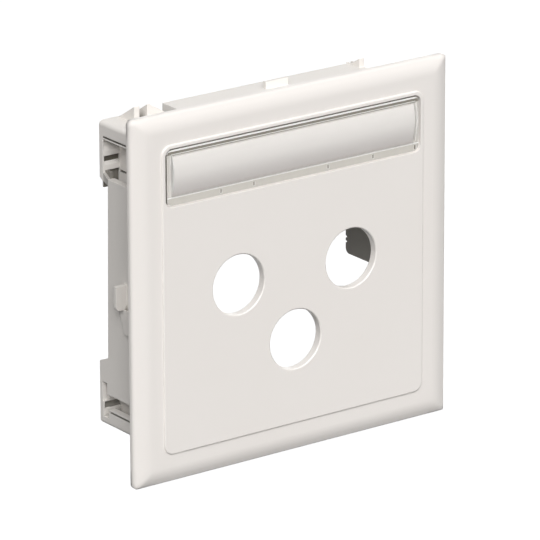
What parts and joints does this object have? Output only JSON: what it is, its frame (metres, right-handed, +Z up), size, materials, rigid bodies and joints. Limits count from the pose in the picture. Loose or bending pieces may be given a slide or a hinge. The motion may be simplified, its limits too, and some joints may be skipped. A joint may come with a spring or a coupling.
{
  "type": "antenna socket cover plate",
  "caption": "Nearly square cover plate with round openings for coaxial sockets, a clear label window and a deep snap-in mounting frame for cable trunking.",
  "frame": {"origin": "centre of the plate on its mounting plane, the back of the flange", "axes": "+Z up, +X to the right seen from the front, +Y into the trunking; the plate faces -Y"},
  "size_m": [0.08, 0.0249, 0.079],
  "materials": {
    "cover": "satin moulded warm white",
    "frame": "matt moulded warm white",
    "window": "clear polished",
    "strip": "plain white card"
  },
  "bodies": {
    "frame": {"mounting_frame": "frame"},
    "cover": {"cover_plate": "cover", "label_strip": "strip"},
    "window": {"label_window": "window"}
  },
  "joints": [
    {"name": "cover_release", "type": "slide", "parent": "frame", "child": "cover", "axis": [0, -1, 0], "range_m": [0, 0.008]},
    {"name": "window_release", "type": "slide", "parent": "cover", "child": "window", "axis": [0, -1, 0], "range_m": [0, 0.004]}
  ]
}
